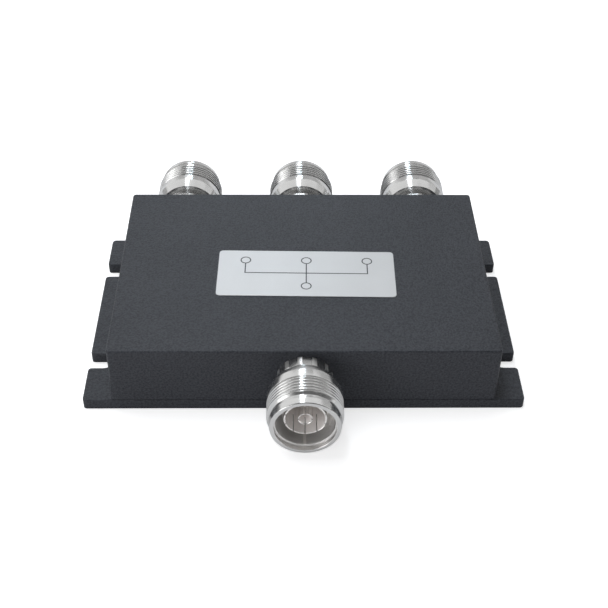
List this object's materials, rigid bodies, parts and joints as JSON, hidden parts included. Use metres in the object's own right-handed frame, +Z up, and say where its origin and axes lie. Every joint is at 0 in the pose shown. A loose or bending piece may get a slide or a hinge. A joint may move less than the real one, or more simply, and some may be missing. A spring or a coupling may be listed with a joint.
{
  "type": "rf power splitter",
  "caption": "Flat black metal box on a slotted base plate, with threaded coaxial jacks front and back, that shares one radio signal among equal outputs.",
  "frame": {"origin": "middle of the base plate's underside, at the centre of the box that holds the part", "axes": "+X along the box's long side, across the row of output jacks; +Y from the input jack to the output jacks; +Z up from the mounting face to the label"},
  "size_m": [0.1178, 0.1074, 0.0215],
  "materials": {
    "housing_paint": "black fine-textured satin paint",
    "label_film": "silver-grey satin film",
    "plated_metal": "bright turned tri-alloy plating",
    "contact_metal": "silver plated",
    "ptfe": "machined",
    "strip_metal": "silver plated sheet",
    "seal_rubber": "moulded",
    "screw_steel": "stainless"
  },
  "bodies": {
    "root": {"housing": "housing_paint", "base_plate": "housing_paint", "label": "label_film", "stripline": "strip_metal", "trunk_support": "ptfe", "left_arm_support": "ptfe", "right_arm_support": "ptfe", "cover_seal": "seal_rubber", "cover_screw_1": "screw_steel", "cover_screw_2": "screw_steel", "cover_screw_3": "screw_steel", "cover_screw_4": "screw_steel", "cover_screw_5": "screw_steel", "cover_screw_6": "screw_steel", "cover_screw_7": "screw_steel", "cover_screw_8": "screw_steel", "cover_screw_9": "screw_steel", "cover_screw_10": "screw_steel", "input_jack_body": "plated_metal", "input_jack_outer_contact": "contact_metal", "input_jack_centre_contact": "contact_metal", "input_jack_insulator": "ptfe", "input_jack_panel_seal": "seal_rubber", "output_jack_1_body": "plated_metal", "output_jack_1_outer_contact": "contact_metal", "output_jack_1_centre_contact": "contact_metal", "output_jack_1_insulator": "ptfe", "output_jack_1_panel_seal": "seal_rubber", "output_jack_2_body": "plated_metal", "output_jack_2_outer_contact": "contact_metal", "output_jack_2_centre_contact": "contact_metal", "output_jack_2_insulator": "ptfe", "output_jack_2_panel_seal": "seal_rubber", "output_jack_3_body": "plated_metal", "output_jack_3_outer_contact": "contact_metal", "output_jack_3_centre_contact": "contact_metal", "output_jack_3_insulator": "ptfe", "output_jack_3_panel_seal": "seal_rubber"}
  },
  "joints": []
}
